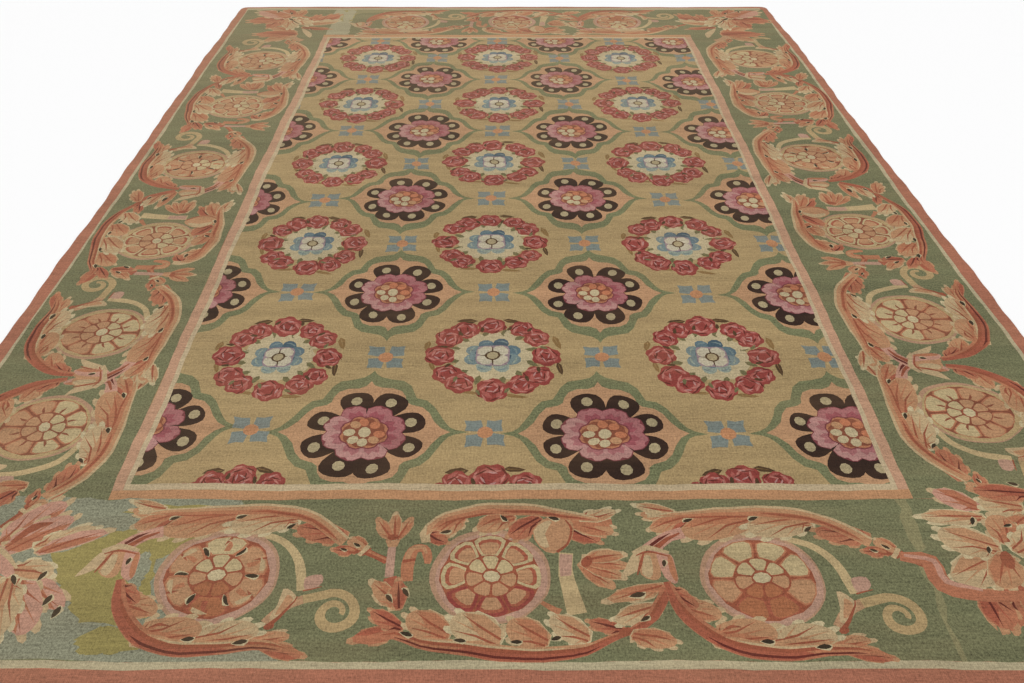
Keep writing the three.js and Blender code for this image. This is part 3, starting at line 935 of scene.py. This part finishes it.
# Place along the rug, and the distances of the left and the right edge from the centre line.
SIDE_STATIONS = (
    (-2142, 1530, 1530), (-1488, 1528, 1518), (-938, 1524, 1503), (-538, 1520, 1489),
    (-138, 1511, 1477), (432, 1511, 1461), (912, 1508, 1449), (1372, 1507, 1441),
    (1652, 1500, 1430), (2142, 1491, 1403),
)
# Small uneven waves of the edges: height, length and start.
EDGE_WAVES = {
    "left": ((2.2, 610, 0.4), (1.6, 173, 1.9)), "right": ((2.6, 540, 2.2), (1.9, 151, 0.3)),
    "near": ((3.0, 1320, 1.1), (1.5, 233, 2.6)), "far": ((2.8, 1180, 0.2), (1.7, 262, 1.4)),
}
RIM_STEP = 38  # spacing of the points along the rug's outline
OUTER_YARN = "edge coral"  # of the rug's outer band, and of its edge and underside
TOP_INSET = 1.2  # of the upper face from the outline
TOP_EDGE_DROP = 0.35  # the upper face is a little lower at its rim
RIM_STEPS = ((1.2, 1.9), (1.2, 0.9), (0.3, 0))  # the turned edge downwards: reach beyond the upper face, and height
GRID = 8  # outline points are moved to places this many to a millimetre, so that neighbours share them
SMALLEST_DOUBLED_AREA = 4  # in square millimetres; scraps under it are left out
MERGE_ANGLE = math.radians(4)  # bends of an outline that are softer than this are straightened
# Lines between the tiles that the pattern is cut in.
TILE_LINES_X = (-1550, -1000, -500, 0, 500, 1000, 1550)
TILE_LINES_Y = (-2160, -1600, -1100, -550, 0, 550, 1100, 1620, 2160)
# The slow swell: share of its height, turns across and along in radians a metre, and start.
SWELL_WAVES = ((0.5, 1.9, 1.1, 0.7), (0.3, -3.1, 2.3, 2.4), (0.2, 4.7, 4.1, 4.0))


def edge_wave(side, place):
    """How far a side or an end stands out at places along it."""
    return sum(height * np.sin(TAU * place / length + start) for height, length, start in EDGE_WAVES[side])


def round_corner(across, along, sizes):
    """Moves points of the plain rectangle that are near a corner so that the corner comes out round."""
    width, length, radius = sizes.width / MM, sizes.length / MM, sizes.corner_radius / MM
    p = np.clip(1 - np.minimum(across, width - across) / radius, 0, None)
    q = np.clip(1 - np.minimum(along, length - along) / radius, 0, None)
    near = (p > 0) & (q > 0)
    side = radius * (1 - p * np.sqrt(1 - q**2 / 2))
    end = radius * (1 - q * np.sqrt(1 - p**2 / 2))
    side = np.where(across < width / 2, side, width - side)
    end = np.where(along < length / 2, end, length - end)
    return np.where(near, side, across), np.where(near, end, along)


def lie(across, along, sizes):
    """The place on the floor of points given by their distances from the left side and the near end."""
    width, length = sizes.width / MM, sizes.length / MM
    across, along = round_corner(np.asarray(across, float), np.asarray(along, float), sizes)
    y = along - length / 2
    rows = np.array(SIDE_STATIONS, float)
    left = -np.interp(y, rows[:, 0], rows[:, 1]) - edge_wave("left", y)
    right = np.interp(y, rows[:, 0], rows[:, 2]) + edge_wave("right", y)
    x = left + (right - left) * across / width
    part = along / length
    return x + 1j * (y + part * edge_wave("far", x) - (1 - part) * edge_wave("near", x))


def rim_line(inset, sizes):
    """The rug's outline, anticlockwise, at an inset from its edge."""
    width, length, radius = sizes.width / MM, sizes.length / MM, sizes.corner_radius / MM
    corner = np.array([0, 0.12, 0.3, 0.55, 0.8]) * radius

    def run(size):
        middle = np.arange(radius, size - radius, (size - 2 * radius) / round((size - 2 * radius) / RIM_STEP))
        return np.concatenate([corner, middle, size - corner[:0:-1]]) / size

    a, b = inset + (width - 2 * inset) * run(width), inset + (length - 2 * inset) * run(length)
    low_a, low_b = np.full_like(a, inset), np.full_like(b, inset)
    across = np.concatenate([a, width - low_b, width - a, low_b])
    along = np.concatenate([low_a, b, length - low_a, length - b])
    return lie(across, along, sizes)


def top_height(z, sizes):
    """Height of the upper face in millimetres."""
    x, y = z.real / METRE, z.imag / METRE
    swell = sum(part * np.sin(a * x + b * y + start) for part, a, b, start in SWELL_WAVES)
    return (sizes.thickness + sizes.swell * swell) / MM


def merged(verts, faces, yarn_ids):
    """Joins neighbouring triangles of one yarn inside a tile and cuts them anew, which leaves fewer."""
    flat = bpy.data.meshes.new("flat")
    flat.from_pydata([(v.x, v.y, 0) for v in verts], [], faces)
    flat.polygons.foreach_set("material_index", np.array(yarn_ids, np.int32))
    cut = bmesh.new()
    cut.from_mesh(flat)
    bpy.data.meshes.remove(flat)
    bmesh.ops.dissolve_limit(cut, angle_limit=MERGE_ANGLE, use_dissolve_boundaries=False,
                             verts=[v for v in cut.verts if not v.is_boundary],
                             edges=[e for e in cut.edges if not e.is_boundary], delimit={"MATERIAL"})
    bmesh.ops.triangulate(cut, faces=cut.faces)
    cut.verts.index_update()
    points = np.array([complex(v.co.x, v.co.y) for v in cut.verts])
    triangles = np.array([[v.index for v in face.verts] for face in cut.faces])
    yarn_ids = np.array([face.material_index for face in cut.faces])
    cut.free()
    return points, triangles, yarn_ids


def doubled_area(ring):
    return (ring.conj() * np.roll(ring, -1)).imag.sum()


def anticlockwise(ring):
    return ring if doubled_area(ring) > 0 else ring[::-1]


def on_grid(points):
    return np.round(points * GRID) / GRID


def clipped_tiles(rings):
    """The rings cut up tile by tile: rows of (tile's low corner, its high corner, ring numbers, clipped rings)."""
    low = np.array([complex(ring.real.min(), ring.imag.min()) for ring in rings])
    high = np.array([complex(ring.real.max(), ring.imag.max()) for ring in rings])
    tiles = []
    for x0, x1 in zip(TILE_LINES_X[:-1], TILE_LINES_X[1:]):
        for y0, y1 in zip(TILE_LINES_Y[:-1], TILE_LINES_Y[1:]):
            touching = (low.real < x1) & (high.real > x0) & (low.imag < y1) & (high.imag > y0)
            inside = (low.real > x0) & (high.real < x1) & (low.imag > y0) & (high.imag < y1)
            ids, cut = [], []
            for i in np.flatnonzero(touching):
                ring = rings[i] if inside[i] else trimmed(rings[i], complex(x0, y0), complex(x1, y1))
                ring = on_grid(ring)
                if len(ring) > 2 and doubled_area(ring) > SMALLEST_DOUBLED_AREA:
                    ids.append(i)
                    cut.append(ring)
            tiles.append((complex(x0, y0), complex(x1, y1), ids, cut))
    return tiles


def cut_patches(patches, outline, names):
    """Triangles of the upper face: (points, triangles, yarn number of each triangle).
    The rug is cut tile by tile, since one triangulation of everything is slow."""
    rings = [anticlockwise(ring) for _, ring in [(OUTER_YARN, outline)] + patches]
    yarn_of = [names.index(yarn) for yarn, _ in [(OUTER_YARN, outline)] + patches]
    tiles = clipped_tiles(rings)
    # every point on a line between tiles is given to the tiles on both sides of it
    seam = np.unique(np.concatenate([ring for _, _, _, cut in tiles for ring in cut]))
    seam = seam[np.isin(seam.real, TILE_LINES_X) | np.isin(seam.imag, TILE_LINES_Y)]
    points, triangles, owners = [], [], []
    start = 0
    for low, high, ids, cut in tiles:
        at_edge = seam[(seam.real >= low.real) & (seam.real <= high.real)
                       & (seam.imag >= low.imag) & (seam.imag <= high.imag)]
        corners, faces = [], []
        for ring in cut:
            faces.append(list(range(len(corners), len(corners) + len(ring))))
            corners += list(ring)
        flat = [Vector((z.real, z.imag)) for z in corners + list(at_edge)]
        verts, _, tris, _, _, sources = delaunay_2d_cdt(flat, [], faces, 1, 0.0, True)
        # a tile away from the rim is all ground
        always = [0] if doubled_area(cut[0]) == 2 * (high - low).real * (high - low).imag else []
        boxes = [(ring.real.min(), ring.real.max(), ring.imag.min(), ring.imag.max()) for ring in cut]
        kept, yarn_ids = [], []
        for tri, source in zip(tris, sources):
            x, y = sum((verts[k] for k in tri), Vector((0, 0))) / 3
            covering = always + [ids[k] for k in source
                                 if boxes[k][0] <= x <= boxes[k][1] and boxes[k][2] <= y <= boxes[k][3]]
            if 0 in covering:
                kept.append(tri)
                yarn_ids.append(yarn_of[max(covering)])
        made, tris, yarn_ids = merged(verts, kept, yarn_ids)
        points.append(made)
        triangles.append(tris + start)
        owners.append(yarn_ids)
        start += len(made)
    points, renumber = np.unique(np.round(np.concatenate(points), 2), return_inverse=True)
    triangles, owners = renumber.ravel()[np.concatenate(triangles)], np.concatenate(owners)
    # slivers that shrank to a line, or that lie back to back, are left out
    _, same, copies = np.unique(np.sort(triangles, axis=1), axis=0, return_inverse=True, return_counts=True)
    whole = (triangles != np.roll(triangles, 1, axis=1)).all(axis=1) & (copies[same.ravel()] == 1)
    return points, triangles[whole], owners[whole]


def sheet_shape(points, triangles, sizes):
    """Corners and faces of the closed sheet: the upper face given, the turned edge and the underside."""
    heights = top_height(points, sizes)
    # the rim's own points are lowered a little, and the turned edge hangs from them
    rim = rim_of(points, triangles)
    heights[rim] -= TOP_EDGE_DROP
    xyz = [np.column_stack([points.real, points.imag, heights])]
    start, rings = len(points), [rim]
    outward = outward_of(points[rim])
    for reach, height in RIM_STEPS:
        ring = points[rim] + outward * reach
        xyz.append(np.column_stack([ring.real, ring.imag, np.full(len(ring), height)]))
        rings.append(np.arange(start, start + len(ring)))
        start += len(ring)
    faces = triangles.tolist()
    for high, low in zip(rings[:-1], rings[1:]):
        for k in range(len(low)):
            after = (k + 1) % len(low)
            faces.append([int(i) for i in (low[k], low[after], high[after], high[k])])
    faces.append([int(i) for i in rings[-1][::-1]])
    centre = lie_centre(sizes)
    return (np.concatenate(xyz) - [centre.real, centre.imag, 0]) * MM, faces


def weave_sheet(sizes, yarns):
    """Makes the sheet's mesh: patterned upper face, turned edge and plain underside."""
    patches = rug_pattern(np.random.default_rng(sizes.seed))
    names = list(YARN_COLOURS)
    points, triangles, yarn_ids = cut_patches(patches, on_grid(rim_line(TOP_INSET, sizes)), names)
    used, triangles = np.unique(triangles, return_inverse=True)
    xyz, faces = sheet_shape(points[used], triangles.reshape(-1, 3), sizes)

    mesh = bpy.data.meshes.new("rug-cloth")
    mesh.from_pydata(xyz.tolist(), [], faces)
    colours = np.ones((len(faces), 4))
    colours[:, :3] = yarn_rgb(OUTER_YARN, yarns)
    colours[:len(yarn_ids), :3] = np.array([yarn_rgb(name, yarns) for name in names])[yarn_ids]
    counts = np.array([len(face) for face in faces])
    layer = mesh.color_attributes.new("yarn", "FLOAT_COLOR", "CORNER")
    layer.data.foreach_set("color", np.repeat(colours, counts, axis=0).ravel().astype(np.float32))
    lay_out_map(mesh, sizes, len(yarn_ids))
    mesh.update()
    return mesh


def rim_of(points, triangles):
    """The upper face's outermost points in order, anticlockwise."""
    edges = np.concatenate([triangles[:, [0, 1]], triangles[:, [1, 2]], triangles[:, [2, 0]]])
    present = {(int(a), int(b)) for a, b in edges}
    after = {a: b for a, b in present if (b, a) not in present}
    ring = [min(after, key=lambda i: points[i].imag)]
    while len(ring) == 1 or ring[-1] != ring[0]:
        ring.append(after[ring[-1]])
    return np.array(ring[:-1])


def outward_of(ring):
    """Unit directions out of a closed anticlockwise line."""
    along = np.roll(ring, -1) - np.roll(ring, 1)
    return -1j * along / np.abs(along)


def lie_centre(sizes):
    """Middle of the outline's box, which the CAD model has at its origin."""
    ring = rim_line(0, sizes)
    return complex(ring.real.max() + ring.real.min(), ring.imag.max() + ring.imag.min()) / 2


def yarn_rgb(name, yarns):
    """Linear colour of a yarn."""
    value = np.array(getattr(yarns, yarn_id(name)))
    # the usual curve between screen values and linear ones
    return np.where(value <= 0.04045, value / 12.92, ((value + 0.055) / 1.055) ** 2.4)


# Map for baking, in shares of its side: where the upper face starts, its width and its length, how much of
# those it fills, and the strip beside it for the edge and the underside.
MAP_START, MAP_WIDTH, MAP_LENGTH, MAP_FILL = 0.01, 0.93, 0.98, 0.995
STRIP_START, STRIP_WIDTH = 0.96, 0.03


def lay_out_map(mesh, sizes, top_faces):
    """Unfolded map for baking: the upper face, seen from above, fills nearly all of it."""
    layer = mesh.uv_layers.new(name="OFBake")
    corners = np.zeros(len(mesh.loops), np.int32)
    mesh.loops.foreach_get("vertex_index", corners)
    xyz = np.zeros(len(mesh.vertices) * 3, np.float32)
    mesh.vertices.foreach_get("co", xyz)
    place = xyz.reshape(-1, 3)[corners]
    u = MAP_START + MAP_WIDTH * (place[:, 0] / sizes.width + 0.5) * MAP_FILL
    v = 0.5 + MAP_LENGTH * place[:, 1] / sizes.length * MAP_FILL
    first_other = 3 * top_faces
    u[first_other:] = STRIP_START + STRIP_WIDTH * (place[first_other:, 0] / sizes.width + 0.5)
    layer.data.foreach_set("uv", np.column_stack([u, v]).ravel().astype(np.float32))


# Shader maths written as plain expressions

class Wire:
    """A value in a node tree. Arithmetic with it adds the nodes that work it out."""

    def __init__(self, tree, socket):
        self.tree = tree
        self.socket = socket

    def node(self, kind, inputs, output=0, **settings):
        """Adds a node: its settings first, then a value or a wire for each named or numbered input."""
        made = self.tree.nodes.new(kind)
        for name, value in settings.items():
            setattr(made, name, value)
        for key, value in inputs.items():
            if isinstance(value, Wire):
                self.tree.links.new(value.socket, made.inputs[key])
            else:
                made.inputs[key].default_value = value
        return Wire(self.tree, made.outputs[output])

    def maths(self, operation, *values):
        return self.node("ShaderNodeMath", dict(enumerate((self,) + values)), operation=operation)

    def __add__(self, other):
        return self.maths("ADD", other)

    def __sub__(self, other):
        return self.maths("SUBTRACT", other)

    def __mul__(self, other):
        return self.maths("MULTIPLY", other)

    def __rsub__(self, other):
        return (self * -1.0) + other

    __radd__ = __add__
    __rmul__ = __mul__

    def output(self, number):
        """Another output of the node that this one comes from."""
        return Wire(self.tree, self.socket.node.outputs[number])

    def between(self, low, high):
        """0 below low, 1 above high, soft in between."""
        return self.node("ShaderNodeMapRange", {0: self, 1: low, 2: high, 3: 0.0, 4: 1.0},
                         interpolation_type="SMOOTHSTEP", clamp=True)

    def noise(self, scale, detail=2.0, roughness=0.5):
        """Noise over a place; scale has one number for each axis, in repeats a metre."""
        place = self.node("ShaderNodeVectorMath", {0: self, 1: scale}, operation="MULTIPLY")
        inputs = {"Vector": place, "Scale": 1.0, "Detail": detail, "Roughness": roughness}
        return place.node("ShaderNodeTexNoise", inputs)

    def towards(self, colour, factor):
        """This colour mixed with another one."""
        return self.node("ShaderNodeMix", {0: factor, 6: self, 7: colour}, output=2, data_type="RGBA",
                         clamp_factor=True)

    def scaled(self, factor):
        return self.node("ShaderNodeVectorMath", {0: self, 3: factor}, operation="SCALE")


# Colours that the wool is mixed with where the dye is warmer, where it is stained, and where painted light makes it
# paler at the far end and the left side.
WARM_DYE = (0.44, 0.26, 0.13, 1.0)
STAIN = (0.10, 0.06, 0.035, 1.0)
PAINTED_LIGHT_TINT = (0.46, 0.34, 0.20, 1.0)


def woven_wool(wear):
    """Matt tapestry-woven wool in the colours of the mesh, streaked, banded and stained, with painted shade between
    its warp ribs and painted light that makes the far end and the left side paler.
    """
    material = bpy.data.materials.new("woven-wool")
    material.use_nodes = True
    tree = material.node_tree
    tree.nodes.clear()
    shader = tree.nodes.new("ShaderNodeBsdfPrincipled")
    output = tree.nodes.new("ShaderNodeOutputMaterial")
    tree.links.new(shader.outputs[0], output.inputs[0])
    shader.inputs["Roughness"].default_value = 0.95
    shader.inputs["Specular IOR Level"].default_value = 0.15

    start = Wire(tree, None)
    place = start.node("ShaderNodeTexCoord", {}, output="Object")
    axes = place.node("ShaderNodeSeparateXYZ", {0: place})
    across, along = axes.output(0), axes.output(1)
    colour = start.node("ShaderNodeAttribute", {}, attribute_name="yarn")
    parts = colour.node("ShaderNodeSeparateColor", {0: colour})
    red, green, blue = (parts.output(i) for i in range(3))
    # the green grounds are more mottled than the rest
    greens = (red - green).between(0.035, 0.0) * (green - blue).between(0.02, 0.07)

    # picks of weft run across and ribs run along; a noise has its repeats a metre across and along the rug
    ribs = (across * (TAU / wear.rib_pitch)).maths("SINE")
    picks = place.noise((1 / wear.rib_pitch, 800.0, 1.0), 1.0)
    threads = place.noise((50.0, 520.0, 1.0), 2.0)
    hatching = place.noise((11.0, 170.0, 1.0), 3.0, 0.7)
    comb = place.noise((290.0, 34.0, 1.0), 2.0, 0.6)
    grain = place.noise((200.0, 170.0, 1.0), 3.0, 0.75)
    dye = place.noise((1.3, 19.0, 1.0), 3.0, 0.6)
    wide_dye = place.noise((0.8, 4.6, 1.0), 2.0)
    blotch = place.noise((3.4, 4.4, 1.0), 4.0, 0.6)
    warm = place.noise((2.1, 7.0, 1.0), 3.0, 0.6)

    # yarn tone from weft streaks, dye bands and stains, with painted shade between the warp ribs from the ribs term
    light = 1.0 + ((threads - 0.5) * 1.3 + (hatching - 0.5) * 1.4 + (comb - 0.5) * 1.0
                   + (grain - 0.5) * (greens * 2.2 + 2.8) + (picks - 0.5) * 0.6 + ribs * 0.12) * wear.streaks
    light = light + ((dye - 0.5) * 1.2 + (wide_dye - 0.5) * 0.8) * wear.bands + (blotch - 0.5) * (0.6 * wear.stains)
    # painted light: the colour is made brighter towards the far end
    far = along.between(-0.9, 2.2)
    colour = colour.scaled(light * (1.0 + far * (0.22 * wear.painted_light_strength)))
    colour = colour.towards(WARM_DYE, (warm - 0.42).between(0.0, 0.3) * (0.16 * wear.bands))
    colour = colour.towards(STAIN, (blotch - 0.58).between(0.0, 0.2) * (0.24 * wear.stains))

    # painted light: the far end is painted paler, but less at the right edge, and the left side a little paler too
    painted_light_mix = far * (across.between(1.4, 0.7) * 0.5 + 0.5) * (0.36 * wear.painted_light_strength) \
        + across.between(0.2, -1.6) * (0.1 * wear.painted_light_strength)
    colour = colour.towards(PAINTED_LIGHT_TINT, painted_light_mix)
    tree.links.new(colour.socket, shader.inputs["Base Color"])

    relief = ribs * 0.5 + picks * 1.2 + threads * 1.5 + hatching + grain * 0.8
    bump = relief.node("ShaderNodeBump", {"Height": relief, "Distance": wear.rib_height, "Strength": 0.8})
    tree.links.new(bump.socket, shader.inputs["Normal"])
    return material


# Operators

def scene_object(name, mesh, material):
    made = bpy.data.objects.new(name, mesh)
    made.data.materials.append(material)
    bpy.context.scene.collection.objects.link(made)
    return made


class RUG_OT_weave_cloth(bpy.types.Operator):
    """Weaves the rug's cloth in the place of the CAD sheet"""
    bl_idname = "rug.weave_cloth"
    bl_label = "Weave the cloth"

    def execute(self, context):
        sizes, wear, yarns = context.scene.rug_sizes, context.scene.rug_wear, context.scene.rug_yarns
        cloth = scene_object("rug-cloth", weave_sheet(sizes, yarns), woven_wool(wear))
        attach(cloth, "root")
        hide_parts("rug")
        return {"FINISHED"}


FLOOR_HALF = 30.0
KEY_SPREAD = math.radians(35)
KEY_DIRECTION = (math.radians(38), math.radians(-24), 0)
CAMERA_ASIDE = -0.042  # the photo was taken a little left of the rug's middle
LENS_SHIFT = 0.0078


class RUG_OT_lay_studio(bpy.types.Operator):
    """Lays a plain floor and adds soft light and the camera"""
    bl_idname = "rug.lay_studio"
    bl_label = "Lay the studio"

    def execute(self, context):
        scene, studio = context.scene, context.scene.rug_studio
        mesh = bpy.data.meshes.new("floor")
        corners = [(FLOOR_HALF * x, FLOOR_HALF * y, 0) for x, y in ((-1, -1), (1, -1), (1, 1), (-1, 1))]
        mesh.from_pydata(corners, [], [(0, 1, 2, 3)])
        material = bpy.data.materials.new("floor")
        material.use_nodes = True
        shader = material.node_tree.nodes["Principled BSDF"]
        shader.inputs["Base Color"].default_value = (*(c**2.2 for c in studio.floor_colour), 1.0)
        shader.inputs["Roughness"].default_value = 0.9
        floor = scene_object("floor", mesh, material)

        world = bpy.data.worlds.new("studio")
        world.use_nodes = True
        sky = world.node_tree.nodes["Background"]
        sky.inputs["Color"].default_value = (1.0, 1.0, 1.0, 1.0)
        sky.inputs["Strength"].default_value = studio.daylight
        scene.world = world
        lamp = bpy.data.lights.new("key", "SUN")
        lamp.energy = studio.key_light
        lamp.angle = KEY_SPREAD
        key = bpy.data.objects.new("key", lamp)
        key.rotation_euler = KEY_DIRECTION
        scene.collection.objects.link(key)

        lens = bpy.data.cameras.new("camera")
        lens.sensor_width = 36.0
        lens.lens = studio.lens
        lens.shift_x = LENS_SHIFT
        lens.dof.use_dof = False
        camera = bpy.data.objects.new("camera", lens)
        camera.location = (CAMERA_ASIDE, -studio.camera_back, studio.camera_height)
        camera.rotation_euler = (math.pi / 2 - studio.pitch, 0, 0)
        scene.collection.objects.link(camera)
        scene.camera = camera
        scene.view_settings.view_transform = "Standard"
        return {"FINISHED"}


class RUG_PT_sidebar(bpy.types.Panel):
    """Lists the rug's settings and the steps that build it"""
    bl_label = "Rug"
    bl_idname = "RUG_PT_sidebar"
    bl_space_type = "VIEW_3D"
    bl_region_type = "UI"
    bl_category = "Rug"

    def draw(self, context):
        scene = context.scene
        for group in (scene.rug_sizes, scene.rug_wear, scene.rug_studio, scene.rug_yarns):
            box = self.layout.box()
            for name in type(group).__annotations__:
                box.prop(group, name)
        for step in (RUG_OT_weave_cloth, RUG_OT_lay_studio):
            self.layout.operator(step.bl_idname)


GROUPS = {"rug_sizes": RugSizes, "rug_wear": RugWear, "rug_studio": RugStudio, "rug_yarns": RugYarns}
CLASSES = (*GROUPS.values(), RUG_OT_weave_cloth, RUG_OT_lay_studio, RUG_PT_sidebar)


def register():
    for cls in CLASSES:
        bpy.utils.register_class(cls)
    for name, group in GROUPS.items():
        setattr(bpy.types.Scene, name, PointerProperty(type=group))


def unregister():
    for name in GROUPS:
        delattr(bpy.types.Scene, name)
    for cls in reversed(CLASSES):
        bpy.utils.unregister_class(cls)


def main():
    register()
    bpy.ops.rug.weave_cloth()
    bpy.ops.rug.lay_studio()


if __name__ == "__main__":
    main()
